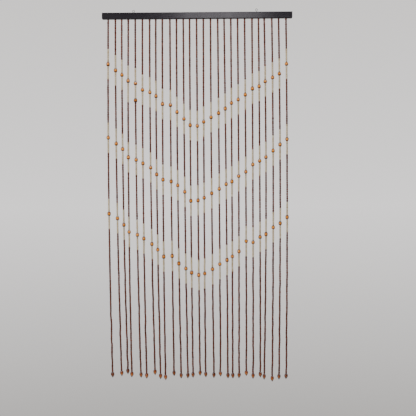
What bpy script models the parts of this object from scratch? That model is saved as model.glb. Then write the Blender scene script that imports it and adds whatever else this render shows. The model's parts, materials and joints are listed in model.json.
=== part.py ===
"""Bead curtain on a black head rail, in metres, +Z up.

The origin is the middle of the rail's flat back. The rail runs along X, its front looks along -Y,
and the strings hang down from a narrow strip let into the rail's underside.
"""

import math
from collections import namedtuple

import bmesh
import bpy

MM = 0.001
GAP = 0.3 * MM

RAIL_LENGTH = 900 * MM
RAIL_HEIGHT = 30 * MM
RAIL_DEPTH = 18 * MM
RAIL_TOP_ROUND = 1.5 * MM
RAIL_FOOT_ROUND = 3.5 * MM
RAIL_EDGE = 1.0 * MM
ROUND_STEPS = 3

MID_DEPTH = -RAIL_DEPTH / 2
RAIL_TOP = RAIL_HEIGHT / 2
RAIL_FOOT = -RAIL_HEIGHT / 2

STRIP_LENGTH = 880 * MM
STRIP_WIDTH = 6.4 * MM
STRIP_HEIGHT = 4.4 * MM
STRIP_FOOT = RAIL_FOOT + GAP
ROOT_DEPTH = 2.2 * MM

# An eye's wire, its ring, the bend from ring to shank, and the turn left open beside the shank
WIRE_RADIUS = 1.0 * MM
RING_RADIUS = 5.0 * MM
BEND_RADIUS = 2.0 * MM
RING_END = math.radians(-68)
RING_STEPS = 22
BEND_STEPS = 4
SCREW_LENGTH = 14 * MM
HOLE_SIDES = 12
HOLE_RADIUS = WIRE_RADIUS + 1.2 * GAP

Eye = namedtuple("Eye", "side across stands turned")
# across: from the rail's middle; stands: the ring's top above the rail; millimetres, and degrees turned
EYES = [
    Eye("left", -301, 13.5, 0),
    Eye("right", 281, 16.5, 20),
]

# Strings have four sides, with their corners to the front, back and sides
SIDES = 4
BEAD_RADIUS = 4.4 * MM
CORD_RADIUS = 1.5 * MM
CREAM_REACH = 71.5 * MM
FIRST_BEAD = 3 * MM
LONGEST_STRETCH = 180 * MM

# Outlines from the middle of an amber bead, and from the point of a drop: height, radius; millimetres
Turn = namedtuple("Turn", "height radius")
ACCENT = [Turn(9.2, 4.4), Turn(5.6, 8), Turn(0, 8.7), Turn(-5.6, 8), Turn(-9.2, 4.4)]
DROP = [Turn(28, 2.2), Turn(24, 5.9), Turn(17.2, 8.4), Turn(10.6, 6.7), Turn(4.6, 2.7), Turn(0, 0.4)]

Cord = namedtuple("Cord", "gap accent_1 accent_2 accent_3 tip bow lean")
# One row for each string, from the left, in millimetres. gap: from the string before it, or from the
# rail's end; accent_1 to accent_3: the amber beads' depths below the rail; tip: the depth of the drop's
# point; bow and lean: how far the string drifts to the right half way down, and at its foot.
THREADING = [
    Cord(29, 212, 560, 920, 1696, -3, 10),
    Cord(34, 241, 588, 941, 1690, 2, 19),
    Cord(30, 263, 614, 972, 1680, 2, 19),
    Cord(31, 291, 653, 1006, 1695, -4, 6),
    Cord(33, 303, 665, 1020, 1698, 1, 16),
    Cord(34, 334, 682, 1038, 1702, -2, 9),
    Cord(34, 346, 702, 1064, 1686, 1, 15),
    Cord(29, 364, 735, 1091, 1705, 0, 12),
    Cord(31, 402, 760, 1124, 1710, -2, 4),
    Cord(36, 407, 769, 1121, 1691, 1, 9),
    Cord(31, 440, 787, 1157, 1703, 1, 11),
    Cord(32, 473, 818, 1181, 1703, 2, 11),
    Cord(30, 503, 861, 1201, 1700, 0, 5),
    Cord(33, 507, 859, 1212, 1691, 1, 5),
    Cord(32, 487, 847, 1205, 1698, -2, 0),
    Cord(34, 466, 826, 1185, 1702, 0, 5),
    Cord(34, 447, 805, 1161, 1695, 2, 2),
    Cord(30, 426, 783, 1142, 1704, 5, 7),
    Cord(32, 400, 771, 1125, 1705, 0, -2),
    Cord(32, 383, 746, 1101, 1704, 0, -5),
    Cord(33, 360, 725, 1054, 1693, 1, -3),
    Cord(35, 332, 691, 1059, 1707, -1, -6),
    Cord(31, 321, 674, 1034, 1700, 1, -3),
    Cord(27, 298, 656, 1021, 1711, 3, -12),
    Cord(36, 280, 626, 989, 1720, 1, -10),
    Cord(32, 262, 597, 970, 1711, 2, -10),
    Cord(35, 216, 573, 941, 1709, 0, -11),
]
LONGEST_CORD = max(cord.tip for cord in THREADING) * MM

# Two slips in the threading: one cream run reaches further down, and one string has a spare amber bead
LONG_RUN_CORD = 4
LONG_RUN_MORE = 30 * MM
SPARE_CORD = 5
SPARE_DEPTH = 383 * MM

# The strings' material slots
STRIP_SLOT, BROWN_SLOT, CREAM_SLOT, AMBER_SLOT = range(4)


def clear_scene():
    for thing in list(bpy.data.objects):
        bpy.data.objects.remove(thing, do_unlink=True)


def finish(name, colour, roughness, metallic=0.0):
    """A plain Principled material."""
    material = bpy.data.materials.new(name)
    material.use_nodes = True
    shader = material.node_tree.nodes["Principled BSDF"]
    shader.inputs["Base Color"].default_value = (*colour, 1.0)
    shader.inputs["Roughness"].default_value = roughness
    shader.inputs["Metallic"].default_value = metallic
    return material


def add_object(name, data, materials=()):
    thing = bpy.data.objects.new(name, data)
    bpy.context.collection.objects.link(thing)
    for material in materials:
        data.materials.append(material)
    return thing


def mesh_from(shape, name):
    """Turns a bmesh with all its faces outwards into a mesh."""
    bmesh.ops.recalc_face_normals(shape, faces=shape.faces)
    mesh = bpy.data.meshes.new(name)
    shape.to_mesh(mesh)
    shape.free()
    return mesh


def hide_tool(thing):
    """A cutter, or a shape that another object takes up."""
    thing.hide_render = True
    thing.display_type = "WIRE"


def join_by(thing, tool, operation):
    """Cuts or unites one object with another."""
    step = thing.modifiers.new(operation.lower(), "BOOLEAN")
    step.operation = operation
    step.solver = "EXACT"
    step.object = tool


def add_box(shape, centre, size):
    corners = bmesh.ops.create_cube(shape, size=1.0)["verts"]
    bmesh.ops.scale(shape, vec=size, verts=corners)
    bmesh.ops.translate(shape, vec=centre, verts=corners)


def rail_outline():
    """The rail seen from the front: four corners, rounder below than above."""
    half_length = RAIL_LENGTH / 2
    corners = [
        (half_length, RAIL_FOOT, RAIL_FOOT_ROUND, -90),
        (half_length, RAIL_TOP, RAIL_TOP_ROUND, 0),
        (-half_length, RAIL_TOP, RAIL_TOP_ROUND, 90),
        (-half_length, RAIL_FOOT, RAIL_FOOT_ROUND, 180),
    ]
    outline = []
    for x, z, radius, start in corners:
        middle_x = x - math.copysign(radius, x)
        middle_z = z - math.copysign(radius, z)
        for step in range(ROUND_STEPS + 1):
            angle = math.radians(start + 90 * step / ROUND_STEPS)
            outline.append((middle_x + radius * math.cos(angle), middle_z + radius * math.sin(angle)))
    return outline


def make_rail_cuts():
    """The groove for the strip and the two holes for the eyes."""
    shape = bmesh.new()
    groove_depth = STRIP_FOOT + STRIP_HEIGHT + GAP - RAIL_FOOT
    below = RAIL_EDGE
    add_box(
        shape,
        (0, MID_DEPTH, RAIL_FOOT + (groove_depth - below) / 2),
        (STRIP_LENGTH + 2 * GAP, STRIP_WIDTH + 2 * GAP, groove_depth + below),
    )
    for eye in EYES:
        hole_foot = shank_foot(eye) - GAP
        hole_head = RAIL_TOP + below
        hole = bmesh.ops.create_cone(
            shape,
            cap_ends=True,
            segments=HOLE_SIDES,
            radius1=HOLE_RADIUS,
            radius2=HOLE_RADIUS,
            depth=hole_head - hole_foot,
        )["verts"]
        bmesh.ops.translate(
            shape, vec=(eye.across * MM, MID_DEPTH, (hole_head + hole_foot) / 2), verts=hole
        )
    return add_object("rail_cuts", mesh_from(shape, "rail_cuts"))


def make_rail(material):
    """A flat batten with eased edges, grooved below and drilled above."""
    shape = bmesh.new()
    front = [shape.verts.new((x, -RAIL_DEPTH, z)) for x, z in rail_outline()]
    face = shape.faces.new(front)
    pushed = bmesh.ops.extrude_face_region(shape, geom=[face])["geom"]
    back = [item for item in pushed if isinstance(item, bmesh.types.BMVert)]
    bmesh.ops.translate(shape, vec=(0, RAIL_DEPTH, 0), verts=back)
    rail = add_object("head_rail", mesh_from(shape, "head_rail"), [material])

    edge = rail.modifiers.new("edge", "BEVEL")
    edge.width = RAIL_EDGE
    edge.segments = 2
    edge.limit_method = "ANGLE"
    edge.angle_limit = math.radians(60)

    cuts = make_rail_cuts()
    hide_tool(cuts)
    join_by(rail, cuts, "DIFFERENCE")
    return rail


def ring_middle(eye):
    """The height of an eye's ring middle."""
    return RAIL_TOP + eye.stands * MM - RING_RADIUS - WIRE_RADIUS


def shank_foot(eye):
    """The height of the screw's end in the rail."""
    return ring_middle(eye) - bend_drop() - SCREW_LENGTH


def bend_drop():
    """How far below the ring's middle the straight shank ends, where the bend touches the ring."""
    return math.sqrt(RING_RADIUS**2 + 2 * RING_RADIUS * BEND_RADIUS)


def eye_route():
    """The wire's middle line: up the shank, round a small bend, and about a full turn."""
    drop = bend_drop()
    meeting = math.atan2(drop, BEND_RADIUS)
    route = [(0.0, -drop - SCREW_LENGTH), (0.0, -drop - SCREW_LENGTH / 2)]
    for step in range(BEND_STEPS):
        angle = meeting * step / BEND_STEPS
        route.append((BEND_RADIUS * (math.cos(angle) - 1), BEND_RADIUS * math.sin(angle) - drop))
    start = 1.5 * math.pi - (0.5 * math.pi - meeting)
    for step in range(RING_STEPS + 1):
        angle = start + (RING_END - start) * step / RING_STEPS
        route.append((RING_RADIUS * math.cos(angle), RING_RADIUS * math.sin(angle)))
    return route


def make_eye(eye, material):
    """A screw eye bent from one wire, standing in the rail's top."""
    name = "screw_eye_" + eye.side
    wire = bpy.data.curves.new(name, "CURVE")
    wire.dimensions = "3D"
    wire.bevel_depth = WIRE_RADIUS
    wire.bevel_resolution = 2
    wire.use_fill_caps = True
    route = eye_route()
    line = wire.splines.new("POLY")
    line.points.add(len(route) - 1)
    for point, (x, z) in zip(line.points, route):
        point.co = (x, 0, z, 1)
    thing = add_object(name, wire, [material])
    thing.location = (eye.across * MM, MID_DEPTH, ring_middle(eye))
    thing.rotation_euler.z = math.radians(eye.turned)
    return thing


def straight_run(start, end, slot):
    """Plain stations between two depths, close enough together to follow the string's drift."""
    parts = max(1, math.ceil((end - start) / LONGEST_STRETCH))
    return [(start + (end - start) * part / parts, BEAD_RADIUS, slot) for part in range(parts)]


def accent_stations(depth):
    return [(depth - turn.height * MM, turn.radius * MM, AMBER_SLOT) for turn in ACCENT]


def string_stations(number, cord):
    """Depth, radius and the slot of the stretch below, from the root down to the drop's point."""
    stations = [(-GAP - ROOT_DEPTH, CORD_RADIUS, BROWN_SLOT), (GAP, CORD_RADIUS, BROWN_SLOT)]
    above = FIRST_BEAD
    accent_half = ACCENT[0].height * MM
    for place, depth in enumerate((cord.accent_1 * MM, cord.accent_2 * MM, cord.accent_3 * MM)):
        below = depth + CREAM_REACH
        if number == LONG_RUN_CORD and place == 0:
            below += LONG_RUN_MORE
        stations += straight_run(above, depth - CREAM_REACH, BROWN_SLOT)
        stations += straight_run(depth - CREAM_REACH, depth - accent_half, CREAM_SLOT)
        stations += accent_stations(depth)
        stations[-1] = (*stations[-1][:2], CREAM_SLOT)
        above = below
        if number == SPARE_CORD and place == 0:
            stations += accent_stations(SPARE_DEPTH)
            above = SPARE_DEPTH + accent_half + GAP
    tip = cord.tip * MM
    drop = [(tip - turn.height * MM, turn.radius * MM, AMBER_SLOT) for turn in DROP]
    last_bead = drop[0][0] - GAP
    stations += straight_run(above, last_bead, BROWN_SLOT)
    stations.append((last_bead, BEAD_RADIUS, BROWN_SLOT))
    return stations + drop


def drift(cord, depth):
    """How far to the right a string has drifted at a depth: a curve through its bow and its lean."""
    share = depth / LONGEST_CORD
    return (4 * share * (1 - share) * cord.bow + share * (2 * share - 1) * cord.lean) * MM


def add_string(shape, across, number, cord):
    """One closed four-sided string, turned along its stations."""
    above, slot_above = None, None
    for depth, radius, slot in string_stations(number, cord):
        middle = across + drift(cord, depth)
        ring = []
        for side in range(SIDES):
            angle = math.tau * side / SIDES
            x = middle + radius * math.cos(angle)
            y = MID_DEPTH + radius * math.sin(angle)
            ring.append(shape.verts.new((x, y, RAIL_FOOT - depth)))
        if above is None:
            shape.faces.new(ring)
        else:
            for side in range(SIDES):
                after = (side + 1) % SIDES
                wall = shape.faces.new((above[side], above[after], ring[after], ring[side]))
                wall.material_index = slot_above
        above, slot_above = ring, slot
    shape.faces.new(above[::-1]).material_index = AMBER_SLOT


def make_strings(materials):
    """All strings, fused by their roots to the strip that holds them."""
    shape = bmesh.new()
    across = -RAIL_LENGTH / 2
    for number, cord in enumerate(THREADING, start=1):
        across += cord.gap * MM
        add_string(shape, across, number, cord)
    strings = add_object("loose_strings", mesh_from(shape, "loose_strings"), materials)
    hide_tool(strings)

    shape = bmesh.new()
    add_box(
        shape,
        (0, MID_DEPTH, STRIP_FOOT + STRIP_HEIGHT / 2),
        (STRIP_LENGTH, STRIP_WIDTH, STRIP_HEIGHT),
    )
    strip = add_object("bead_strands", mesh_from(shape, "bead_strands"), materials)
    join_by(strip, strings, "UNION")
    return strip


def main():
    clear_scene()
    black_lacquer = finish("black_lacquer", (0.018, 0.014, 0.015), 0.28)
    bright_wire = finish("bright_wire", (0.62, 0.61, 0.6), 0.3, 1.0)
    brown_beads = finish("brown_beads", (0.13, 0.045, 0.032), 0.45)
    cream_beads = finish("cream_beads", (0.76, 0.62, 0.44), 0.45)
    amber_beads = finish("amber_beads", (0.58, 0.24, 0.07), 0.2)

    make_rail(black_lacquer)
    for eye in EYES:
        make_eye(eye, bright_wire)
    make_strings([black_lacquer, brown_beads, cream_beads, amber_beads])


main()
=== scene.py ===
"""Bead curtain on a black lacquered head rail: every bead, cord, eye and finish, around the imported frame.

The rail runs along X, its front looks along -Y, and the strings hang down along -Z. Metres throughout.
"""

import json
import math
from collections import namedtuple

import bmesh
import bpy
from mathutils import Matrix, Vector

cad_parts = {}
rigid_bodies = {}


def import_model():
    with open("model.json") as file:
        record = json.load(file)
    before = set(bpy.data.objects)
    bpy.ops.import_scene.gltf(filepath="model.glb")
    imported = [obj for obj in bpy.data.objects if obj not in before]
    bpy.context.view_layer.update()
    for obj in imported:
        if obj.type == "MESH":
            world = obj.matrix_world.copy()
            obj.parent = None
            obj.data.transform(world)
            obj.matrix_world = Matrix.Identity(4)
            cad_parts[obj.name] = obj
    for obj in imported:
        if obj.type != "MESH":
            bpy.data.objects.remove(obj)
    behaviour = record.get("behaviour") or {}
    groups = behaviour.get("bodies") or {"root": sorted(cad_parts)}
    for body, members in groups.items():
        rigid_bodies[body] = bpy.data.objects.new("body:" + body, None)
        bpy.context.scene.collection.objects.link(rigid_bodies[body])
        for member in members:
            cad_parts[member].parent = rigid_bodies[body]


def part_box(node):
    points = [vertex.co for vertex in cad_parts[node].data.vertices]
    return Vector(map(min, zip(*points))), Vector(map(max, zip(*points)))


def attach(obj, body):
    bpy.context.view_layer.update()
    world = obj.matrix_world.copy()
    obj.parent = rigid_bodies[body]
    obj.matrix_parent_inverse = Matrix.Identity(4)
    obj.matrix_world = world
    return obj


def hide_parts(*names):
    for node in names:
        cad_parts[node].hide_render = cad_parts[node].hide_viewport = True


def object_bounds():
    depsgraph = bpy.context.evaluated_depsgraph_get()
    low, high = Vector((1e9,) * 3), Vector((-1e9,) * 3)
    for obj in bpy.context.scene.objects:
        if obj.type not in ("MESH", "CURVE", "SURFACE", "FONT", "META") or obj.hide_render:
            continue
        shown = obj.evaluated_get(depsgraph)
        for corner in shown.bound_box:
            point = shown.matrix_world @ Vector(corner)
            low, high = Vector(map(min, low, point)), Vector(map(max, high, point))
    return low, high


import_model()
cad_low, cad_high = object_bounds()

MM = 0.001
BODY = "root"

# The rail and what is let into it, from the frame
rail_low, rail_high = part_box("head_rail")
RAIL_TOP, RAIL_FOOT = rail_high.z, rail_low.z
RAIL_START, RAIL_END = rail_low.x, rail_high.x
RAIL_MIDDLE = (rail_low + rail_high) / 2
MID_DEPTH = RAIL_MIDDLE.y
FIT = 0.3 * MM

RAIL_TOP_ROUND = 1.5 * MM
RAIL_FOOT_ROUND = 3.5 * MM
RAIL_EDGE = 1.4 * MM
ROUND_STEPS = 8

STRIP_LENGTH = 880 * MM
STRIP_WIDTH = 6.4 * MM
STRIP_HEIGHT = 4.4 * MM
STRIP_ROUND = 0.5 * MM
STRIP_EDGE = 0.25 * MM
CORD_HOLE = 1.3 * MM
CORD_HOLE_DEPTH = 3 * MM

# The screw eyes: wire, ring, bend, and the thread cut into the shank
WIRE_RADIUS = 1.0 * MM
RING_RADIUS = 5.0 * MM
BEND_RADIUS = 2.0 * MM
RING_END = math.radians(-68)
SCREW_LENGTH = 14 * MM
THREAD_PITCH = 1.3 * MM
THREAD_DEPTH = 0.22 * MM
THREAD_PLAIN = 2.5 * MM
THREAD_STEPS = 72
# The screw's point: how thin it starts, and the share of the shank over which it widens
POINT_GIRTH = 0.25
POINT_SHARE = 0.125
BEND_STEPS = 8
RING_STEPS = 44
WIRE_SIDES = 16
EYE_HOLE_RADIUS = WIRE_RADIUS + 1.2 * FIT
EYE_TURN = {"screw_eye_left": 0, "screw_eye_right": 20}

# Bead sizes: pitch along the string, and radius
BEAD_RADIUS = 5.0 * MM
BROWN_PITCH = 10.9 * MM
CREAM_PITCH = 10.5 * MM
ACCENT_RADIUS = 8.8 * MM
ACCENT_LENGTH = 19 * MM
DROP_RADIUS = 8.5 * MM
DROP_LENGTH = 28 * MM
CORD_RADIUS = 0.7 * MM
CREAM_REACH = 71.5 * MM
FIRST_BEAD = 1.5 * MM

Cord = namedtuple("Cord", "gap accent_1 accent_2 accent_3 tip bow lean")
# One row for each string, from the left, in millimetres. gap: from the string before it, or from the
# rail's end; accent_1 to accent_3: the amber beads' depths below the rail; tip: the depth of the drop's
# point; bow and lean: how far the string drifts to the right half way down, and at its foot.
THREADING = [
    Cord(29, 212, 560, 920, 1696, -3, 10),
    Cord(34, 241, 588, 941, 1690, 2, 19),
    Cord(30, 263, 614, 972, 1680, 2, 19),
    Cord(31, 291, 653, 1006, 1695, -4, 6),
    Cord(33, 303, 665, 1020, 1698, 1, 16),
    Cord(34, 334, 682, 1038, 1702, -2, 9),
    Cord(34, 346, 702, 1064, 1686, 1, 15),
    Cord(29, 364, 735, 1091, 1705, 0, 12),
    Cord(31, 402, 760, 1124, 1710, -2, 4),
    Cord(36, 407, 769, 1121, 1691, 1, 9),
    Cord(31, 440, 787, 1157, 1703, 1, 11),
    Cord(32, 473, 818, 1181, 1703, 2, 11),
    Cord(30, 503, 861, 1201, 1700, 0, 5),
    Cord(33, 507, 859, 1212, 1691, 1, 5),
    Cord(32, 487, 847, 1205, 1698, -2, 0),
    Cord(34, 466, 826, 1185, 1702, 0, 5),
    Cord(34, 447, 805, 1161, 1695, 2, 2),
    Cord(30, 426, 783, 1142, 1704, 5, 7),
    Cord(32, 400, 771, 1125, 1705, 0, -2),
    Cord(32, 383, 746, 1101, 1704, 0, -5),
    Cord(33, 360, 725, 1054, 1693, 1, -3),
    Cord(35, 332, 691, 1059, 1707, -1, -6),
    Cord(31, 321, 674, 1034, 1700, 1, -3),
    Cord(27, 298, 656, 1021, 1711, 3, -12),
    Cord(36, 280, 626, 989, 1720, 1, -10),
    Cord(32, 262, 597, 970, 1711, 2, -10),
    Cord(35, 216, 573, 941, 1709, 0, -11),
]
LONGEST_CORD = max(cord.tip for cord in THREADING) * MM
LONG_RUN_CORD, LONG_RUN_MORE = 4, 30 * MM
SPARE_CORD = 5
ROUTE_STEP = 30 * MM


# Small helpers for node trees


def feed(tree, inputs, feeds):
    """Gives inputs, by name or number, their values or the outputs that feed them."""
    for key, value in dict(feeds).items():
        if isinstance(value, bpy.types.NodeSocket):
            tree.links.new(value, inputs[key])
        else:
            inputs[key].default_value = value


def put(tree, kind, feeds=(), **settings):
    """Adds a node, with its settings made before its inputs are fed."""
    made = tree.nodes.new(kind)
    for name, value in settings.items():
        setattr(made, name, value)
    feed(tree, made.inputs, feeds)
    return made


def maths(tree, operation, *values):
    """A Math node fed by numbers or outputs."""
    return put(tree, "ShaderNodeMath", dict(enumerate(values)), operation=operation).outputs[0]


def vector_maths(tree, operation, *values):
    return put(tree, "ShaderNodeVectorMath", dict(enumerate(values)), operation=operation).outputs[0]


def vector_length(tree, vector):
    return put(tree, "ShaderNodeVectorMath", {0: vector}, operation="LENGTH").outputs["Value"]


def new_group(name, kind, takes, gives):
    """A node group with named sockets, given as (name, socket type, default)."""
    group = bpy.data.node_groups.new(name, kind)
    for title, form, default in takes:
        socket = group.interface.new_socket(name=title, in_out="INPUT", socket_type=form)
        if default is not None:
            socket.default_value = default
    for title, form in gives:
        group.interface.new_socket(name=title, in_out="OUTPUT", socket_type=form)
    entry = group.nodes.new("NodeGroupInput")
    exit_node = group.nodes.new("NodeGroupOutput")
    return group, entry.outputs, exit_node.inputs


def use_group(tree, group, feeds=()):
    kind = "ShaderNodeGroup" if group.bl_idname == "ShaderNodeTree" else "GeometryNodeGroup"
    return put(tree, kind, feeds, node_tree=group).outputs


def ramp(tree, factor, stops):
    """A colour ramp with the stops given as (position, colour)."""
    made = put(tree, "ShaderNodeValToRGB", {0: factor})
    band = made.color_ramp
    while len(band.elements) < len(stops):
        band.elements.new(0.5)
    for element, (position, colour) in zip(band.elements, stops):
        element.position = position
        element.color = (*colour, 1.0)
    return made.outputs["Color"]


def spread(tree, value, low, high, new_low, new_high, way="LINEAR"):
    """A Map Range node."""
    feeds = {"Value": value, "From Min": low, "From Max": high, "To Min": new_low, "To Max": new_high}
    return put(tree, "ShaderNodeMapRange", feeds, interpolation_type=way).outputs["Result"]


def blend_colours(tree, share, first, second, way="MIX"):
    """A Mix node for two colours, each an output or three numbers."""
    feeds = {0: share}
    for key, colour in ((6, first), (7, second)):
        feeds[key] = colour if isinstance(colour, bpy.types.NodeSocket) else (*colour, 1.0)
    return put(tree, "ShaderNodeMix", feeds, data_type="RGBA", blend_type=way).outputs[2]


# Effects that several finishes share


def make_grain_group():
    """Fine wood grain, drawn out along one direction: how dark each streak is, and its relief."""
    group, given, out = new_group(
        "wood_grain",
        "ShaderNodeTree",
        [
            ("Streaks", "NodeSocketVector", (900, 900, 90)),
            ("Figure", "NodeSocketFloat", 2.0),
            ("Contrast", "NodeSocketFloat", 0.5),
        ],
        [("Dark", "NodeSocketFloat"), ("Relief", "NodeSocketFloat")],
    )
    place = put(group, "ShaderNodeTexCoord").outputs["Object"]
    drawn = vector_maths(group, "MULTIPLY", place, given["Streaks"])
    fine = put(
        group, "ShaderNodeTexNoise", {"Vector": drawn, "Scale": 1.0, "Detail": 4.0, "Roughness": 0.6}
    ).outputs[0]
    broad = put(
        group,
        "ShaderNodeTexNoise",
        {"Vector": drawn, "Scale": 0.22, "Detail": 2.0, "Distortion": given["Figure"]},
    ).outputs[0]
    mixed = maths(group, "ADD", maths(group, "MULTIPLY", fine, 0.6), maths(group, "MULTIPLY", broad, 0.4))
    centred = maths(group, "MULTIPLY", maths(group, "SUBTRACT", mixed, 0.5), given["Contrast"])
    group.links.new(maths(group, "ADD", centred, 0.5), out["Dark"])
    group.links.new(fine, out["Relief"])
    return group


def make_bead_group():
    """What each bead carries with it: its own tint, how near a point is to its ends, and its upper part."""
    group, given, out = new_group(
        "bead_marks",
        "ShaderNodeTree",
        [("End Share", "NodeSocketFloat", 0.35)],
        [("Tint", "NodeSocketFloat"), ("Ends", "NodeSocketFloat"), ("Along", "NodeSocketFloat")],
    )
    tint = put(group, "ShaderNodeAttribute", attribute_name="tint").outputs["Fac"]
    along = put(group, "ShaderNodeAttribute", attribute_name="along").outputs["Fac"]
    from_middle = maths(group, "ABSOLUTE", maths(group, "SUBTRACT", along, 0.5))
    start = maths(group, "SUBTRACT", 0.5, given["End Share"])
    ends = spread(group, from_middle, start, 0.5, 0.0, 1.0, "SMOOTHSTEP")
    group.links.new(tint, out["Tint"])
    group.links.new(ends, out["Ends"])
    group.links.new(along, out["Along"])
    return group


def make_marks_group():
    """Dull patches, dust and fine scratches: a change of roughness and a faint relief."""
    group, given, out = new_group(
        "handling_marks",
        "ShaderNodeTree",
        [
            ("Patch Size", "NodeSocketFloat", 30.0),
            ("Scratch Stretch", "NodeSocketVector", (30, 900, 900)),
            ("Smooth", "NodeSocketFloat", 0.2),
            ("Dull", "NodeSocketFloat", 0.45),
        ],
        [("Roughness", "NodeSocketFloat"), ("Relief", "NodeSocketFloat"), ("Dust", "NodeSocketFloat")],
    )
    place = put(group, "ShaderNodeTexCoord").outputs["Object"]
    patches = put(
        group, "ShaderNodeTexNoise", {"Vector": place, "Scale": given["Patch Size"], "Detail": 5.0}
    ).outputs[0]
    lines = vector_maths(group, "MULTIPLY", place, given["Scratch Stretch"])
    scratches = put(
        group, "ShaderNodeTexNoise", {"Vector": lines, "Scale": 1.0, "Detail": 3.0, "Roughness": 0.7}
    ).outputs[0]
    cut = spread(group, scratches, 0.62, 0.72, 0.0, 1.0)
    patchy = spread(group, patches, 0.35, 0.7, 0.0, 0.75)
    both = maths(group, "ADD", patchy, maths(group, "MULTIPLY", cut, 0.25))
    span = maths(group, "SUBTRACT", given["Dull"], given["Smooth"])
    group.links.new(maths(group, "MULTIPLY_ADD", both, span, given["Smooth"]), out["Roughness"])
    group.links.new(scratches, out["Relief"])
    group.links.new(spread(group, patches, 0.55, 0.75, 0.0, 1.0), out["Dust"])
    return group


def make_edge_group():
    """Wear along a batten's long edges, broken up by noise. Middle and Half give the batten's box."""
    group, given, out = new_group(
        "edge_wear",
        "ShaderNodeTree",
        [
            ("Middle", "NodeSocketVector", (0, 0, 0)),
            ("Half", "NodeSocketVector", (1, 1, 1)),
            ("Width", "NodeSocketFloat", 0.0015),
        ],
        [("Worn", "NodeSocketFloat")],
    )
    place = put(group, "ShaderNodeTexCoord").outputs["Object"]
    away = vector_maths(group, "ABSOLUTE", vector_maths(group, "SUBTRACT", place, given["Middle"]))
    inside = put(
        group, "ShaderNodeSeparateXYZ", {0: vector_maths(group, "SUBTRACT", given["Half"], away)}
    ).outputs
    corner = maths(group, "ADD", inside["Y"], inside["Z"])
    noise = put(
        group, "ShaderNodeTexNoise", {"Vector": place, "Scale": 220.0, "Detail": 6.0, "Roughness": 0.65}
    ).outputs[0]
    reach = maths(group, "MULTIPLY", given["Width"], spread(group, noise, 0.4, 0.75, 0.0, 1.6))
    near = maths(group, "LESS_THAN", corner, reach)
    group.links.new(near, out["Worn"])
    return group


WOOD_GRAIN = make_grain_group()
BEAD_MARKS = make_bead_group()
HANDLING = make_marks_group()
EDGE_WEAR = make_edge_group()


# Finishes

# Painted shade at a glossy bead's rim: how far a face is turned away where it starts to deepen and where it
# is deepest, and how deep
RIM_SHADE_STARTS = 0.12
RIM_SHADE_FULL = 0.62
RIM_SHADE_DEPTH = 0.95


def new_finish(name):
    """A material with its tree and its Principled shader."""
    material = bpy.data.materials.new(name)
    material.use_nodes = True
    tree = material.node_tree
    return material, tree, tree.nodes["Principled BSDF"]


def relief(tree, shader, height, distance, strength=1.0):
    bump = put(tree, "ShaderNodeBump", {"Height": height, "Distance": distance, "Strength": strength})
    tree.links.new(bump.outputs[0], shader.inputs["Normal"])


def make_black_lacquer():
    material, tree, shader = new_finish("black_lacquer")
    half = (rail_high - rail_low) / 2
    grain = use_group(tree, WOOD_GRAIN, {"Streaks": (14, 420, 420), "Figure": 1.2, "Contrast": 1.0})
    marks = use_group(tree, HANDLING, {"Patch Size": 16.0, "Smooth": 0.16, "Dull": 0.25})
    worn = use_group(tree, EDGE_WEAR, {"Middle": RAIL_MIDDLE, "Half": half, "Width": 0.5 * MM})["Worn"]
    colour = ramp(
        tree,
        grain["Dark"],
        [(0.3, (0.007, 0.005, 0.009)), (0.55, (0.013, 0.01, 0.016)), (0.8, (0.026, 0.02, 0.031))],
    )
    dusty = blend_colours(tree, maths(tree, "MULTIPLY", marks["Dust"], 0.25), colour, (0.06, 0.055, 0.06))
    tree.links.new(
        blend_colours(tree, maths(tree, "MULTIPLY", worn, 0.4), dusty, (0.11, 0.075, 0.06)),
        shader.inputs["Base Color"],
    )
    tree.links.new(marks["Roughness"], shader.inputs["Roughness"])
    shader.inputs["Coat Weight"].default_value = 0.3
    shader.inputs["Coat Roughness"].default_value = 0.14
    relief(tree, shader, grain["Relief"], 0.12 * MM, 0.5)
    return material


def make_bead_wood(name, tones, end_colour, end_share, roughness, streaks):
    """Turned, stained wood: each bead its own tone, with grain along it, and darker towards its ends."""
    material, tree, shader = new_finish(name)
    marks = use_group(tree, BEAD_MARKS, {"End Share": end_share})
    grain = use_group(tree, WOOD_GRAIN, {"Streaks": streaks, "Figure": 1.5, "Contrast": 0.9})
    last = len(tones) - 1
    own = ramp(tree, marks["Tint"], [(place / last, tone) for place, tone in enumerate(tones)])
    shade = ramp(tree, grain["Dark"], [(0.25, (0.6,) * 3), (0.7, (1.1,) * 3)])
    darker = blend_colours(tree, 1.0, own, shade, "MULTIPLY")
    # Darker towards each bead's ends
    darker_ends = blend_colours(tree, maths(tree, "MULTIPLY", marks["Ends"], 0.7), darker, end_colour)
    tree.links.new(darker_ends, shader.inputs["Base Color"])
    tree.links.new(
        spread(tree, grain["Dark"], 0.3, 0.7, roughness - 0.08, roughness + 0.1), shader.inputs["Roughness"]
    )
    shader.inputs["Specular IOR Level"].default_value = 0.22
    relief(tree, shader, grain["Relief"], 0.06 * MM, 0.5)
    return material


def rim_share(tree):
    """How far a point is turned away to the side, for painted shade that darkens the rim."""
    facing = put(tree, "ShaderNodeLayerWeight", {"Blend": 0.5}).outputs["Facing"]
    return spread(tree, facing, RIM_SHADE_STARTS, RIM_SHADE_FULL, 0.0, RIM_SHADE_DEPTH, "SMOOTHSTEP")


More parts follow.
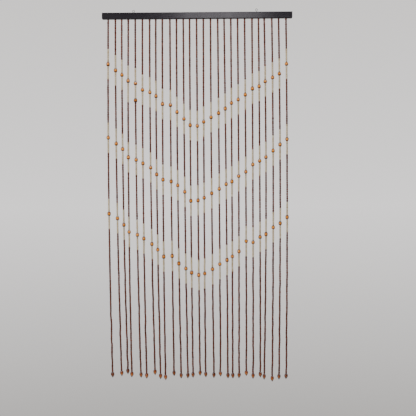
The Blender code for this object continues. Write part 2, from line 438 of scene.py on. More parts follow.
def make_gloss(name, drawn_by, unevenness, cloud_scale, body, own_tones, rim, glow=0.0):
    """Glossy amber: toned along the bead, each bead differently, darkened at its rim by painted shade, and
    cloudy inside.
    """
    material, tree, shader = new_finish(name)
    marks = use_group(tree, BEAD_MARKS, {"End Share": 0.42})
    place = put(tree, "ShaderNodeTexCoord").outputs["Object"]
    cloud = put(
        tree, "ShaderNodeTexNoise", {"Vector": place, "Scale": cloud_scale, "Detail": 3.0, "Distortion": 1.0}
    ).outputs[0]
    uneven = maths(tree, "MULTIPLY", maths(tree, "SUBTRACT", cloud, 0.5), unevenness)
    along = maths(tree, "ADD", marks[drawn_by], uneven)
    own = ramp(tree, marks["Tint"], own_tones)
    toned = blend_colours(tree, 1.0, ramp(tree, along, body), own, "MULTIPLY")
    # The rim colour is painted shade, laid over the tone where the surface turns away to the side
    tree.links.new(blend_colours(tree, rim_share(tree), toned, rim), shader.inputs["Base Color"])
    tree.links.new(spread(tree, cloud, 0.3, 0.7, 0.1, 0.24), shader.inputs["Roughness"])
    shader.inputs["Coat Weight"].default_value = 0.5
    shader.inputs["Coat Roughness"].default_value = 0.05
    shader.inputs["Subsurface Weight"].default_value = glow
    shader.inputs["Subsurface Radius"].default_value = (0.004, 0.0015, 0.0005)
    relief(tree, shader, cloud, 0.1 * MM, 0.4)
    return material


def make_wire_finish():
    """Plated wire with a little tarnish."""
    material, tree, shader = new_finish("plated_wire")
    marks = use_group(
        tree,
        HANDLING,
        {"Patch Size": 260.0, "Scratch Stretch": (2500, 2500, 900), "Smooth": 0.2, "Dull": 0.42},
    )
    colour = ramp(tree, marks["Dust"], [(0.0, (0.17, 0.2, 0.175)), (1.0, (0.11, 0.115, 0.095))])
    tree.links.new(colour, shader.inputs["Base Color"])
    tree.links.new(marks["Roughness"], shader.inputs["Roughness"])
    shader.inputs["Metallic"].default_value = 1.0
    relief(tree, shader, marks["Relief"], 0.03 * MM, 0.4)
    return material


def make_cord_finish():
    """Thin twisted cord, dark brown, its plies showing as slanted bands."""
    material, tree, shader = new_finish("twisted_cord")
    place = put(tree, "ShaderNodeTexCoord").outputs["Object"]
    slanted = put(
        tree, "ShaderNodeMapping", {"Vector": place, "Rotation": (0.0, math.radians(35), 0.0)}
    ).outputs[0]
    plies = put(
        tree,
        "ShaderNodeTexWave",
        {"Vector": slanted, "Scale": 260.0, "Distortion": 1.0, "Detail": 2.0},
        bands_direction="Z",
    ).outputs[1]
    tree.links.new(
        ramp(tree, plies, [(0.0, (0.045, 0.02, 0.016)), (1.0, (0.12, 0.055, 0.04))]),
        shader.inputs["Base Color"],
    )
    tree.links.new(spread(tree, plies, 0.0, 1.0, 0.85, 0.65), shader.inputs["Roughness"])
    relief(tree, shader, plies, 0.15 * MM, 0.6)
    return material


BLACK_LACQUER = make_black_lacquer()
BROWN_WOOD = make_bead_wood(
    "brown_stained_wood",
    [
        (0.12, 0.027, 0.017),
        (0.18, 0.044, 0.028),
        (0.155, 0.052, 0.032),
        (0.21, 0.054, 0.034),
        (0.25, 0.078, 0.049),
    ],
    (0.025, 0.008, 0.006),
    0.16,
    0.5,
    (900, 900, 90),
)
CREAM_WOOD = make_bead_wood(
    "cream_wood",
    [(0.78, 0.58, 0.33), (0.9, 0.71, 0.45), (0.84, 0.69, 0.47), (0.95, 0.8, 0.56)],
    (0.34, 0.18, 0.08),
    0.14,
    0.5,
    (700, 700, 70),
)
# Dark at both ends, lighter where the bead is thickest: the bright middle is a painted glow of light through
# the bead, and the dark ends are partly painted shade and partly the beads' own deeper tone
AMBER_GLOSS = make_gloss(
    "amber_gloss",
    "Ends",
    0.5,
    160.0,
    [(0.0, (1.0, 0.38, 0.045)), (0.35, (0.7, 0.2, 0.02)), (0.75, (0.1, 0.022, 0.005))],
    [
        (0.0, (0.45, 0.36, 0.34)),
        (0.12, (0.75, 0.68, 0.62)),
        (0.5, (0.95, 0.92, 0.9)),
        (1.0, (1.15, 1.15, 1.1)),
    ],
    # The colour of the painted shade at the rim
    (0.05, 0.01, 0.002),
    glow=0.15,
)
# Redder and darker towards the string, and clearer below
DROP_GLOSS = make_gloss(
    "drop_gloss",
    "Along",
    0.3,
    140.0,
    [
        (0.05, (0.12, 0.02, 0.007)),
        (0.3, (0.29, 0.065, 0.012)),
        (0.55, (0.52, 0.165, 0.02)),
        (0.85, (0.2, 0.04, 0.009)),
    ],
    [(0.0, (0.55, 0.45, 0.42)), (0.5, (0.95, 0.92, 0.9)), (1.0, (1.5, 1.5, 1.4))],
    # The colour of the painted shade at the rim
    (0.03, 0.005, 0.001),
)
PLATED_WIRE = make_wire_finish()
TWISTED_CORD = make_cord_finish()


# Making and finishing pieces


def add_mesh(name, shape):
    """An object at the origin from a bmesh."""
    mesh = bpy.data.meshes.new(name)
    shape.to_mesh(mesh)
    shape.free()
    thing = bpy.data.objects.new(name, mesh)
    bpy.context.scene.collection.objects.link(thing)
    return thing


def settle(thing):
    """Turns an object with modifiers into a plain mesh object of the same name."""
    bpy.context.view_layer.update()
    shown = thing.evaluated_get(bpy.context.evaluated_depsgraph_get())
    mesh = bpy.data.meshes.new_from_object(shown)
    name = thing.name
    thing.modifiers.clear()
    bpy.data.objects.remove(thing)
    mesh.name = name
    plain = bpy.data.objects.new(name, mesh)
    bpy.context.scene.collection.objects.link(plain)
    return plain


def smooth_by_angle(thing, degrees):
    thing.data.shade_smooth()
    thing.data.set_sharp_from_angle(angle=math.radians(degrees))


def keep_flats(thing):
    """Lets large flat faces keep their own direction in the shading beside eased edges."""
    step = thing.modifiers.new("flats", "WEIGHTED_NORMAL")
    step.keep_sharp = True
    step.weight = 50
    return settle(thing)


def hand_over(thing, slot, *nodes):
    """Rides the piece on the part's one body, in place of the given solids."""
    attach(thing, BODY)
    if nodes:
        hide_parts(*nodes)


# Strings


def drift(cord, depth):
    """How far to the right a string has drifted at a depth: a curve through its bow and its lean."""
    share = depth / LONGEST_CORD
    return (4 * share * (1 - share) * cord.bow + share * (2 * share - 1) * cord.lean) * MM


def string_place(number, depth):
    """The middle of a string, counted from 1, at a depth below the rail."""
    across = RAIL_START + sum(cord.gap for cord in THREADING[:number]) * MM
    return Vector((across + drift(THREADING[number - 1], depth), MID_DEPTH, RAIL_FOOT - depth))


def string_runs(number, cord):
    """The stretches of one string from the top: kind, start and end depth."""
    half = ACCENT_LENGTH / 2
    runs = []
    above = FIRST_BEAD
    for place, accent in enumerate((cord.accent_1, cord.accent_2, cord.accent_3)):
        depth = accent * MM
        below = depth + CREAM_REACH
        if number == LONG_RUN_CORD and place == 0:
            below += LONG_RUN_MORE
        runs += [
            ("brown", above, depth - CREAM_REACH),
            ("cream", depth - CREAM_REACH, depth - half),
            ("accent", depth - half, depth + half),
            ("cream", depth + half, below),
        ]
        above = below
        if number == SPARE_CORD and place == 0:
            runs.append(("spare", below, below + ACCENT_LENGTH))
            above = below + ACCENT_LENGTH
    drop_top = cord.tip * MM - DROP_LENGTH
    runs += [("brown", above, drop_top), ("drop", drop_top, cord.tip * MM)]
    return runs


def draw_runs(name, kind, numbers):
    """A curve object with one spline for each run of the given kind, or for all of them."""
    curve = bpy.data.curves.new(name, "CURVE")
    curve.dimensions = "3D"
    for number in numbers:
        for each, start, end in string_runs(number, THREADING[number - 1]):
            if kind not in (each, "all"):
                continue
            steps = max(1, math.ceil((end - start) / ROUTE_STEP))
            line = curve.splines.new("POLY")
            line.points.add(steps)
            for step, point in enumerate(line.points):
                place = string_place(number, start + (end - start) * step / steps)
                point.co = (*place, 1.0)
    thing = bpy.data.objects.new(name, curve)
    bpy.context.scene.collection.objects.link(thing)
    return thing


# Bead shapes, one unit long and one unit in radius, from the upper end to the lower: along, girth

Turn = namedtuple("Turn", "along girth")
# Each bead draws a number in this range, and takes the shape that it comes to when they are counted round
SHAPE_PICKS = (0, 11)
RICE_SIDES = 8
RICE_BORE = Turn(0.02, 0.26)
RICE_SHAPES = [
    [Turn(0, 0.64), Turn(0.08, 0.88), Turn(0.27, 0.99), Turn(0.73, 0.985), Turn(0.92, 0.88), Turn(1, 0.64)],
    [Turn(0, 0.6), Turn(0.09, 0.85), Turn(0.3, 0.98), Turn(0.66, 1.0), Turn(0.91, 0.92), Turn(1, 0.68)],
    [Turn(0, 0.66), Turn(0.06, 0.86), Turn(0.22, 0.95), Turn(0.76, 0.95), Turn(0.94, 0.86), Turn(1, 0.64)],
]
ACCENT_SIDES = 20
ACCENT_STEPS = 12
ACCENT_BORE = Turn(0.03, 0.14)
Oval = namedtuple("Oval", "fullness foot_heavy rim")
# fullness: lower is squarer; foot_heavy: how much fuller the lower half is; rim: the flat about the hole
ACCENT_SHAPES = [Oval(0.6, 0.06, 0.36), Oval(0.66, 0.26, 0.32), Oval(0.5, 0.1, 0.42), Oval(0.78, 0.18, 0.28)]
DROP_SIDES = 20
DROP_BORE = Turn(0.08, 0.15)
DROP_SHAPES = [
    [
        Turn(0.0, 0.3),
        Turn(0.04, 0.5),
        Turn(0.1, 0.69),
        Turn(0.19, 0.87),
        Turn(0.3, 0.98),
        Turn(0.4, 1.0),
        Turn(0.51, 0.96),
        Turn(0.62, 0.84),
        Turn(0.73, 0.65),
        Turn(0.83, 0.43),
        Turn(0.92, 0.22),
        Turn(0.975, 0.09),
    ],
    [
        Turn(0.0, 0.34),
        Turn(0.05, 0.6),
        Turn(0.12, 0.8),
        Turn(0.22, 0.95),
        Turn(0.33, 1.0),
        Turn(0.45, 0.98),
        Turn(0.57, 0.87),
        Turn(0.68, 0.69),
        Turn(0.79, 0.47),
        Turn(0.88, 0.28),
        Turn(0.94, 0.16),
        Turn(0.98, 0.09),
    ],
]


def oval_outline(oval):
    """A round bead, fuller towards its foot, cut off where the flat about the hole is."""
    rim = math.asin(oval.rim)
    outline = []
    for step in range(ACCENT_STEPS + 1):
        angle = rim + (math.pi - 2 * rim) * step / ACCENT_STEPS
        along = 0.5 - 0.5 * math.cos(angle) / math.cos(rim)
        outline.append(Turn(along, math.sin(angle) ** oval.fullness * (1 + oval.foot_heavy * (along - 0.5))))
    fullest = max(turn.girth for turn in outline)
    return [Turn(turn.along, turn.girth / fullest) for turn in outline]


def turned_shape(name, outline, sides, bore, through=True):
    """A bead as a closed lathe shape with its hole, upper end at -0.5 and lower end at 0.5."""
    rings = [bore] + list(outline)
    if through:
        rings.append(Turn(1 - bore.along, bore.girth))
    shape = bmesh.new()
    along_layer = shape.verts.layers.float.new("along")
    loops = []
    for turn in rings:
        loop = []
        for side in range(sides):
            angle = math.tau * side / sides
            where = (turn.girth * math.cos(angle), turn.girth * math.sin(angle), turn.along - 0.5)
            corner = shape.verts.new(where)
            corner[along_layer] = turn.along
            loop.append(corner)
        loops.append(loop)
    pairs = list(zip(loops, loops[1:]))
    if through:
        pairs.append((loops[-1], loops[0]))
    for first, second in pairs:
        for side in range(sides):
            after = (side + 1) % sides
            shape.faces.new((first[side], first[after], second[after], second[side]))
    if not through:
        for loop, depth in ((loops[0], bore.along), (loops[-1], 1.0)):
            pole = shape.verts.new((0, 0, depth - 0.5))
            pole[along_layer] = depth
            for side in range(sides):
                shape.faces.new((loop[side], loop[(side + 1) % sides], pole))
    bmesh.ops.recalc_face_normals(shape, faces=shape.faces)
    mesh = bpy.data.meshes.new(name)
    shape.to_mesh(mesh)
    shape.free()
    return bpy.data.objects.new(name, mesh)


def shape_set(name, outlines, sides, bore, through=True):
    """A collection of bead shapes for the threading to choose from. It stays out of the scene."""
    beads = bpy.data.collections.new(name)
    for number, outline in enumerate(outlines, start=1):
        beads.objects.link(turned_shape(name + "_" + str(number), outline, sides, bore, through))
    return beads


def clear_shapes(beads):
    for bead in list(beads.objects):
        bpy.data.meshes.remove(bead.data)
    bpy.data.collections.remove(beads)


def make_kink_group():
    """How a loaded string strays from straight: more the further down it is, and mostly sideways."""
    group, given, out = new_group(
        "hang_unevenly",
        "GeometryNodeTree",
        [
            ("Stray", "NodeSocketFloat", 2.6 * MM),
            ("Wave", "NodeSocketFloat", 40 * MM),
            ("Starts", "NodeSocketFloat", -0.85),
            ("Full", "NodeSocketFloat", -1.5),
        ],
        [("Offset", "NodeSocketVector")],
    )
    place = put(group, "GeometryNodeInputPosition").outputs[0]
    scale = maths(group, "DIVIDE", 1.0, given["Wave"])
    noise = put(group, "ShaderNodeTexNoise", {"Vector": place, "Scale": scale, "Detail": 1.0}).outputs[1]
    centred = vector_maths(group, "SUBTRACT", noise, (0.5, 0.5, 0.5))
    sideways = vector_maths(group, "MULTIPLY", centred, (2.0, 0.5, 0.0))
    height = put(group, "ShaderNodeSeparateXYZ", {0: place}).outputs["Z"]
    growth = spread(group, height, given["Starts"], given["Full"], 0.2, 1.0, "SMOOTHSTEP")
    amount = maths(group, "MULTIPLY", growth, given["Stray"])
    scaled = put(group, "ShaderNodeVectorMath", {0: sideways, "Scale": amount}, operation="SCALE")
    group.links.new(scaled.outputs[0], out["Offset"])
    return group


def random_number(tree, low, high, seed):
    """A random number for each element, in the given range."""
    made = put(tree, "FunctionNodeRandomValue", {"Seed": seed}, data_type="FLOAT")
    limits = [socket for socket in made.inputs if socket.type == "VALUE"]
    feed(tree, limits, {0: low, 1: high})
    return next(socket for socket in made.outputs if socket.type == "VALUE")


def make_threading_tree():
    """Threads copies of a bead on every run, end to end, or draws the cord through them."""
    tree, given, out = new_group(
        "thread_beads",
        "GeometryNodeTree",
        [
            ("Runs", "NodeSocketGeometry", None),
            ("Beads", "NodeSocketCollection", None),
            ("Pitch", "NodeSocketFloat", 0.01),
            ("Girth", "NodeSocketFloat", 0.003),
            ("Girth Play", "NodeSocketFloat", 0.1),
            ("Length Play", "NodeSocketFloat", 0.1),
            ("Fill", "NodeSocketFloat", 0.97),
            ("Tilt", "NodeSocketFloat", 0.05),
            ("Turned Over", "NodeSocketFloat", 0.0),
            ("Darkest Tint", "NodeSocketFloat", 0.0),
            ("Lightest Tint", "NodeSocketFloat", 1.0),
            ("Seed", "NodeSocketInt", 1),
            ("Cord Radius", "NodeSocketFloat", 0.0007),
            ("Only Cord", "NodeSocketBool", False),
            ("Finish", "NodeSocketMaterial", None),
        ],
        [("Pieces", "NodeSocketGeometry")],
    )
    tree.is_modifier = True

    def seed(number):
        return maths(tree, "ADD", given["Seed"], number)

    # Each run is cut into as many equal stretches as beads fit on it, whose joints then shift a little
    length = put(tree, "GeometryNodeSplineLength").outputs["Length"]
    beads = maths(tree, "MAXIMUM", maths(tree, "ROUND", maths(tree, "DIVIDE", length, given["Pitch"])), 1.0)
    cut = put(
        tree,
        "GeometryNodeResampleCurve",
        {"Curve": given["Runs"], "Count": maths(tree, "ADD", beads, 1.0)},
        mode="COUNT",
    ).outputs[0]
    ends = put(tree, "GeometryNodeCurveEndpointSelection", {"Start Size": 1, "End Size": 1}).outputs[0]
    inner = put(tree, "FunctionNodeBooleanMath", {0: ends}, operation="NOT").outputs[0]
    tangent = put(tree, "GeometryNodeInputTangent").outputs[0]
    play = maths(tree, "MULTIPLY", given["Pitch"], given["Length Play"])
    shift = random_number(tree, maths(tree, "MULTIPLY", play, -1.0), play, seed(0))
    along = put(tree, "ShaderNodeVectorMath", {0: tangent, "Scale": shift}, operation="SCALE").outputs[0]
    shifted = put(
        tree, "GeometryNodeSetPosition", {"Geometry": cut, "Selection": inner, "Offset": along}
    ).outputs[0]
    stray = use_group(tree, HANG_UNEVENLY)["Offset"]
    hung = put(tree, "GeometryNodeSetPosition", {"Geometry": shifted, "Offset": stray}).outputs[0]

    # The cord runs through the joints
    ring = put(tree, "GeometryNodeCurvePrimitiveCircle", {"Resolution": 6, "Radius": given["Cord Radius"]})
    cord = put(
        tree,
        "GeometryNodeCurveToMesh",
        {"Curve": hung, "Profile Curve": ring.outputs[0], "Fill Caps": True},
    ).outputs[0]

    # A bead stands on the middle of each stretch, along it and as long as it
    line = put(tree, "GeometryNodeCurveToMesh", {"Curve": hung}).outputs[0]
    corners = put(tree, "GeometryNodeInputMeshEdgeVertices").outputs
    step = vector_maths(tree, "SUBTRACT", corners["Position 2"], corners["Position 1"])
    marked = put(
        tree,
        "GeometryNodeStoreNamedAttribute",
        {"Geometry": line, "Name": "stretch", "Value": step},
        data_type="FLOAT_VECTOR",
        domain="EDGE",
    ).outputs[0]
    points = put(tree, "GeometryNodeMeshToPoints", {"Mesh": marked}, mode="EDGES").outputs[0]
    stretch = put(
        tree, "GeometryNodeInputNamedAttribute", {"Name": "stretch"}, data_type="FLOAT_VECTOR"
    ).outputs[0]
    facing = put(tree, "FunctionNodeAlignRotationToVector", {"Vector": stretch}, axis="Z").outputs[0]

    def turn(rotation, axis, angle):
        small = put(tree, "FunctionNodeAxisAngleToRotation", {"Axis": axis, "Angle": angle}).outputs[0]
        return put(
            tree,
            "FunctionNodeRotateRotation",
            {"Rotation": rotation, "Rotate By": small},
            rotation_space="LOCAL",
        ).outputs[0]

    spun = turn(facing, (0, 0, 1), random_number(tree, 0.0, math.tau, seed(1)))
    other_way = maths(tree, "MULTIPLY", given["Tilt"], -1.0)
    tilted = turn(spun, (1, 0, 0), random_number(tree, other_way, given["Tilt"], seed(2)))
    over = maths(tree, "LESS_THAN", random_number(tree, 0.0, 1.0, seed(3)), given["Turned Over"])
    placed = turn(tilted, (0, 1, 0), maths(tree, "MULTIPLY", over, math.pi))

    girth_low = maths(tree, "MULTIPLY", given["Girth"], maths(tree, "SUBTRACT", 1.0, given["Girth Play"]))
    girth = random_number(tree, girth_low, given["Girth"], seed(4))
    tall = maths(tree, "MULTIPLY", vector_length(tree, stretch), given["Fill"])
    size = put(tree, "ShaderNodeCombineXYZ", {"X": girth, "Y": girth, "Z": tall}).outputs[0]
    shapes = put(
        tree,
        "GeometryNodeCollectionInfo",
        {"Collection": given["Beads"], "Separate Children": True, "Reset Children": True},
    ).outputs[0]
    choice = put(tree, "FunctionNodeRandomValue", data_type="INT")
    limits = [socket for socket in choice.inputs if socket.type == "INT" and socket.enabled]
    feed(tree, limits, enumerate(SHAPE_PICKS))
    strung = put(
        tree,
        "GeometryNodeInstanceOnPoints",
        {
            "Points": points,
            "Instance": shapes,
            "Pick Instance": True,
            "Instance Index": next(socket for socket in choice.outputs if socket.type == "INT"),
            "Rotation": placed,
            "Scale": size,
        },
    ).outputs[0]
    tint = random_number(tree, given["Darkest Tint"], given["Lightest Tint"], seed(5))
    tinted = put(
        tree,
        "GeometryNodeStoreNamedAttribute",
        {"Geometry": strung, "Name": "tint", "Value": tint},
        data_type="FLOAT",
        domain="INSTANCE",
    ).outputs[0]

    chosen = put(
        tree,
        "GeometryNodeSwitch",
        {"Switch": given["Only Cord"], "False": tinted, "True": cord},
        input_type="GEOMETRY",
    ).outputs[0]
    real = put(tree, "GeometryNodeRealizeInstances", {"Geometry": chosen}).outputs[0]
    smooth = put(tree, "GeometryNodeSetShadeSmooth", {"Geometry": real}).outputs[0]
    finished = put(
        tree, "GeometryNodeSetMaterial", {"Geometry": smooth, "Material": given["Finish"]}
    ).outputs[0]
    tree.links.new(finished, out["Pieces"])
    return tree


HANG_UNEVENLY = make_kink_group()
THREAD_BEADS = make_threading_tree()


def thread(name, kind, numbers, material, **values):
    """Threads the runs of one kind on some strings and returns the plain mesh object."""
    thing = draw_runs(name, kind, numbers)
    step = thing.modifiers.new("thread", "NODES")
    step.node_group = THREAD_BEADS
    values["Finish"] = material
    for item in THREAD_BEADS.interface.items_tree:
        if item.item_type == "SOCKET" and item.in_out == "INPUT" and item.name in values:
            step[item.identifier] = values[item.name]
    return settle(thing)


def make_strings():
    """All beads, in place of the frame's four-sided strings."""
    rice = shape_set("rice_bead", RICE_SHAPES, RICE_SIDES, RICE_BORE)
    ovals = shape_set("oval_bead", map(oval_outline, ACCENT_SHAPES), ACCENT_SIDES, ACCENT_BORE)
    drops = shape_set("drop_bead", DROP_SHAPES, DROP_SIDES, DROP_BORE, through=False)
    everyone = range(1, len(THREADING) + 1)
    third = len(THREADING) // 3
    small = {"Beads": rice, "Girth": BEAD_RADIUS, "Girth Play": 0.1, "Length Play": 0.12, "Tilt": 0.09}
    small["Turned Over"] = 0.5
    for place, part in enumerate(("left", "middle", "right")):
        numbers = range(place * third + 1, (place + 1) * third + 1)
        name = "brown_beads_" + part
        beads = thread(name, "brown", numbers, BROWN_WOOD, Pitch=BROWN_PITCH, Seed=11 + place, **small)
        hand_over(beads, "brown_beads", "bead_strands")
    beads = thread("cream_beads", "cream", everyone, CREAM_WOOD, Pitch=CREAM_PITCH, Seed=21, **small)
    hand_over(beads, "cream_beads", "bead_strands")

    amber = {"Beads": ovals, "Pitch": ACCENT_LENGTH, "Girth": ACCENT_RADIUS, "Girth Play": 0.04, "Tilt": 0.06}
    amber["Turned Over"] = 0.15
    light = {"Darkest Tint": 0.25}
    beads = thread("amber_beads", "accent", everyone, AMBER_GLOSS, Seed=31, **amber, **light)
    hand_over(beads, "amber_beads", "bead_strands")
    dark = {"Lightest Tint": 0.05}
    beads = thread("spare_amber_bead", "spare", [SPARE_CORD], AMBER_GLOSS, Seed=33, **amber, **dark)
    hand_over(beads, "amber_beads", "bead_strands")

    drop = {"Beads": drops, "Pitch": DROP_LENGTH, "Girth": DROP_RADIUS, "Girth Play": 0.05, "Tilt": 0.08}
    beads = thread("amber_drops", "drop", everyone, DROP_GLOSS, Fill=1.0, Seed=41, **drop)
    hand_over(beads, "amber_beads", "bead_strands")
    for beads in (rice, ovals, drops):
        clear_shapes(beads)


# The rail, its strip and the eyes


def batten_outline(start, end, foot, top, foot_round, top_round):
    """A batten seen from the front: four corners, rounder below than above."""
    corners = [
        (end, foot, foot_round, -90),
        (end, top, top_round, 0),
        (start, top, top_round, 90),
        (start, foot, foot_round, 180),
    ]
    middle_x, middle_z = (start + end) / 2, (foot + top) / 2
    outline = []
    for x, z, radius, first in corners:
        centre_x = x - math.copysign(radius, x - middle_x)
        centre_z = z - math.copysign(radius, z - middle_z)
        for step in range(ROUND_STEPS + 1):
            angle = math.radians(first + 90 * step / ROUND_STEPS)
            outline.append((centre_x + radius * math.cos(angle), centre_z + radius * math.sin(angle)))
    return outline


def make_batten(name, outline, front, back, edge):
    """Pushes an outline back from its front face and eases all its rim edges."""
    shape = bmesh.new()
    face = shape.faces.new([shape.verts.new((x, front, z)) for x, z in outline])
    pushed = bmesh.ops.extrude_face_region(shape, geom=[face])["geom"]
    rear = [item for item in pushed if isinstance(item, bmesh.types.BMVert)]
    bmesh.ops.translate(shape, vec=(0, back - front, 0), verts=rear)
    bmesh.ops.recalc_face_normals(shape, faces=shape.faces)
    batten = add_mesh(name, shape)
    eased = batten.modifiers.new("edge", "BEVEL")
    eased.width = edge
    eased.segments = 4
    eased.limit_method = "ANGLE"
    eased.angle_limit = math.radians(60)
    return batten


def add_box(shape, centre, size):
    corners = bmesh.ops.create_cube(shape, size=1.0)["verts"]
    bmesh.ops.scale(shape, vec=size, verts=corners)
    bmesh.ops.translate(shape, vec=centre, verts=corners)


def add_peg(shape, centre, radius, height, sides=20):
    corners = bmesh.ops.create_cone(
        shape, cap_ends=True, segments=sides, radius1=radius, radius2=radius, depth=height
    )["verts"]
    bmesh.ops.translate(shape, vec=centre, verts=corners)


def cut_with(thing, shape):
    """Cuts a shape out of an object and returns the plain result."""
    bmesh.ops.recalc_face_normals(shape, faces=shape.faces)
    tool = add_mesh("cut_from_" + thing.name, shape)
    cut = thing.modifiers.new("cut", "BOOLEAN")
    cut.operation = "DIFFERENCE"
    cut.solver = "EXACT"
    cut.object = tool
    plain = settle(thing)
    bpy.data.objects.remove(tool)
    return plain


def make_rail():
    """The lacquered batten, grooved below for the strip and drilled above for the eyes."""
    outline = batten_outline(RAIL_START, RAIL_END, RAIL_FOOT, RAIL_TOP, RAIL_FOOT_ROUND, RAIL_TOP_ROUND)
    rail = make_batten("lacquered_rail", outline, rail_low.y, rail_high.y, RAIL_EDGE)
    rail.data.materials.append(BLACK_LACQUER)
    cuts = bmesh.new()
    groove = STRIP_HEIGHT + 2 * FIT
    add_box(
        cuts,
        (RAIL_MIDDLE.x, MID_DEPTH, RAIL_FOOT + groove / 2 - MM / 2),
        (STRIP_LENGTH + 2 * FIT, STRIP_WIDTH + 2 * FIT, groove + MM),
    )
    for name in EYE_TURN:
        low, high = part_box(name)
        foot, head = low.z - FIT, RAIL_TOP + MM
        middle = (eye_across(name), MID_DEPTH, (foot + head) / 2)
        add_peg(cuts, middle, EYE_HOLE_RADIUS, head - foot)
    rail = cut_with(rail, cuts)
    smooth_by_angle(rail, 28)
    rail = keep_flats(rail)
    hand_over(rail, "black_lacquer", "head_rail")


def make_strip():
    """The strip let into the rail's underside, with a hole for each cord."""
    foot = RAIL_FOOT + FIT
    outline = batten_outline(
        RAIL_MIDDLE.x - STRIP_LENGTH / 2,
        RAIL_MIDDLE.x + STRIP_LENGTH / 2,
        foot,
        foot + STRIP_HEIGHT,
        STRIP_ROUND,
        STRIP_ROUND,
    )
    front, back = MID_DEPTH - STRIP_WIDTH / 2, MID_DEPTH + STRIP_WIDTH / 2
    strip = make_batten("threading_strip", outline, front, back, STRIP_EDGE)
    strip.data.materials.append(BLACK_LACQUER)
    holes = bmesh.new()
    for number in range(1, len(THREADING) + 1):
        across = string_place(number, 0).x
        add_peg(holes, (across, MID_DEPTH, foot), CORD_HOLE, 2 * CORD_HOLE_DEPTH, 12)
    strip = cut_with(strip, holes)
    smooth_by_angle(strip, 28)
    strip = keep_flats(strip)
    hand_over(strip, "black_lacquer", "bead_strands")


def eye_across(name):
    """The shank's place along the rail: half way between the ring's sides."""
    low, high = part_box(name)
    return (low.x + high.x) / 2


def eye_route():
    """The wire's middle line from the screw's point up, round the bend and the ring.

    Gives x, z, whether the thread is cut there, and the share of the shank below.
    """
    drop = math.sqrt(RING_RADIUS**2 + 2 * RING_RADIUS * BEND_RADIUS)
    meeting = math.atan2(drop, BEND_RADIUS)
    route = []
    for step in range(THREAD_STEPS):
        share = step / THREAD_STEPS
        height = -drop - SCREW_LENGTH * (1 - share)
        route.append((0.0, height, height < -drop - THREAD_PLAIN, share))
    for step in range(BEND_STEPS):
        angle = meeting * step / BEND_STEPS
        where = (BEND_RADIUS * (math.cos(angle) - 1), BEND_RADIUS * math.sin(angle) - drop)
        route.append((*where, False, 1.0))
    start = 1.5 * math.pi - (0.5 * math.pi - meeting)
    for step in range(RING_STEPS + 1):
        angle = start + (RING_END - start) * step / RING_STEPS
        route.append((RING_RADIUS * math.cos(angle), RING_RADIUS * math.sin(angle), False, 1.0))
    return route


def wire_radius(height, side_share, threaded, share):
    """The wire's radius: a saw-tooth thread on the shank, and a taper at the screw's point."""
    if not threaded:
        return WIRE_RADIUS
    phase = (height / THREAD_PITCH - side_share) % 1.0
    taper = min(1.0, POINT_GIRTH + (1 - POINT_GIRTH) * share / POINT_SHARE)
    return (WIRE_RADIUS - THREAD_DEPTH * phase) * taper


def make_eye(name, node):
    """A screw eye bent from one wire, with a cut thread."""
    low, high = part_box(node)
    middle = Vector((eye_across(node), MID_DEPTH, high.z - RING_RADIUS - WIRE_RADIUS))
    turned = Matrix.Rotation(math.radians(EYE_TURN[node]), 3, "Z")
    route = eye_route()
    shape = bmesh.new()
    loops = []
    for place, (x, z, threaded, share) in enumerate(route):
        before, after = route[max(place - 1, 0)], route[min(place + 1, len(route) - 1)]
        heading = Vector((after[0] - before[0], 0, after[1] - before[1])).normalized()
        across = heading.cross(Vector((0, 1, 0)))
        loop = []
        for side in range(WIRE_SIDES):
            angle = math.tau * side / WIRE_SIDES
            radius = wire_radius(z, side / WIRE_SIDES, threaded, share)
            away = (across * math.cos(angle) + Vector((0, 1, 0)) * math.sin(angle)) * radius
            loop.append(shape.verts.new(middle + turned @ (Vector((x, 0, z)) + away)))
        loops.append(loop)
    for first, second in zip(loops, loops[1:]):
        for side in range(WIRE_SIDES):
            following = (side + 1) % WIRE_SIDES
            shape.faces.new((first[side], first[following], second[following], second[side]))
    shape.faces.new(loops[0])
    shape.faces.new(loops[-1])
    bmesh.ops.recalc_face_normals(shape, faces=shape.faces)
    eye = add_mesh(name, shape)
    eye.data.materials.append(PLATED_WIRE)
    smooth_by_angle(eye, 50)
    hand_over(eye, "bright_wire", node)


def make_cords():
    """The cord inside every run, seen between beads and where it enters the strip."""
    everyone = range(1, len(THREADING) + 1)
    cord = thread(
        "bead_cords",
        "all",
        everyone,
        TWISTED_CORD,
        Pitch=BROWN_PITCH,
        Seed=11,
        **{"Cord Radius": CORD_RADIUS, "Only Cord": True},
    )
    hand_over(cord, "bead_string", "bead_strands")


make_strings()
make_rail()
make_strip()
make_eye("wire_eye_left", "screw_eye_left")
make_eye("wire_eye_right", "screw_eye_right")
make_cords()


# The studio: camera at the photograph's angle, pale floor, soft light

SURROUND_SEEN = 1.2
SURROUND_LIGHT = 0.32
CAMERA_PLACE = (0.045, -3.2, -0.905)
CAMERA_DOWN = 0.1
CAMERA_ROLL = 0.4
CAMERA_LENS = 58.33
SENSOR = 36.0

Lamp = namedtuple("Lamp", "name place aim width height power colour")
CURTAIN_MIDDLE = (0.0, MID_DEPTH, (cad_low.z + cad_high.z) / 2)
LAMPS = [
    Lamp("key", (-0.6, -2.2, 2.1), CURTAIN_MIDDLE, 1.2, 0.9, 86, (1.0, 0.98, 0.95)),
    Lamp("sheen", (0.17, -3.2, 0.93), (0.1, 0.0, 0.0), 0.75, 0.5, 4, (0.98, 0.94, 1.0)),
    Lamp("fill", (-1.8, -2.2, -0.6), CURTAIN_MIDDLE, 1.2, 1.6, 17, (1.0, 1.0, 1.0)),
    Lamp("behind", (0.9, 2.2, 0.6), CURTAIN_MIDDLE, 1.4, 1.4, 9, (1.0, 1.0, 1.0)),
]
FLOOR_BELOW = 0.55
FLOOR_HALF = (1.6, 1.1, 1.0)


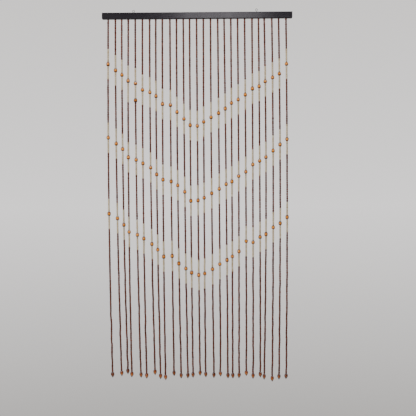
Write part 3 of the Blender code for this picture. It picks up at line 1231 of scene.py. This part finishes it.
def make_camera():
    data = bpy.data.cameras.new("view")
    data.lens = CAMERA_LENS
    data.sensor_width = SENSOR
    camera = bpy.data.objects.new("view", data)
    camera.matrix_world = (
        Matrix.Translation(CAMERA_PLACE)
        @ Matrix.Rotation(math.radians(90 - CAMERA_DOWN), 4, "X")
        @ Matrix.Rotation(math.radians(-CAMERA_ROLL), 4, "Z")
    )
    bpy.context.scene.collection.objects.link(camera)
    bpy.context.scene.camera = camera


def make_lamp(lamp):
    """A soft rectangular lamp, turned to what it is aimed at."""
    data = bpy.data.lights.new(lamp.name, "AREA")
    data.shape = "RECTANGLE"
    data.size, data.size_y = lamp.width, lamp.height
    data.energy = lamp.power
    data.color = lamp.colour
    thing = bpy.data.objects.new(lamp.name, data)
    thing.location = lamp.place
    thing.rotation_mode = "QUATERNION"
    thing.rotation_quaternion = (Vector(lamp.aim) - Vector(lamp.place)).to_track_quat("-Z", "Y")
    bpy.context.scene.collection.objects.link(thing)


def make_floor():
    """A pale floor well below the drops."""
    height = cad_low.z - FLOOR_BELOW
    shape = bmesh.new()
    bmesh.ops.create_grid(shape, x_segments=1, y_segments=1, size=1.0)
    bmesh.ops.scale(shape, vec=FLOOR_HALF, verts=shape.verts)
    bmesh.ops.translate(shape, vec=(0, MID_DEPTH, height), verts=shape.verts)
    floor = add_mesh("floor", shape)
    material, tree, shader = new_finish("pale_floor")
    place = put(tree, "ShaderNodeTexCoord").outputs["Object"]
    cloud = put(tree, "ShaderNodeTexNoise", {"Vector": place, "Scale": 3.0, "Detail": 4.0}).outputs[0]
    tree.links.new(
        ramp(tree, cloud, [(0.3, (0.93, 0.92, 0.91)), (0.7, (0.97, 0.96, 0.95))]), shader.inputs["Base Color"]
    )
    shader.inputs["Roughness"].default_value = 0.8
    floor.data.materials.append(material)


def make_world():
    """A bright white surround behind the curtain, greyer below, that lights it only softly."""
    world = bpy.data.worlds.new("white_surround")
    bpy.context.scene.world = world
    world.use_nodes = True
    tree = world.node_tree
    ground = tree.nodes["Background"]
    direction = put(tree, "ShaderNodeTexCoord").outputs["Generated"]
    height = put(tree, "ShaderNodeSeparateXYZ", {0: direction}).outputs["Z"]
    share = spread(tree, height, -0.3, 0.3, 0.0, 1.0)
    colour = ramp(
        tree,
        share,
        [
            (0.0, (0.48, 0.465, 0.45)),
            (0.28, (0.76, 0.74, 0.73)),
            (0.5, (1.0, 0.975, 0.97)),
            (1.0, (0.84, 0.815, 0.8)),
        ],
    )
    tree.links.new(colour, ground.inputs["Color"])
    seen = put(tree, "ShaderNodeLightPath").outputs["Is Camera Ray"]
    tree.links.new(spread(tree, seen, 0.0, 1.0, SURROUND_LIGHT, SURROUND_SEEN), ground.inputs["Strength"])


make_camera()
make_world()
make_floor()
for lamp in LAMPS:
    make_lamp(lamp)
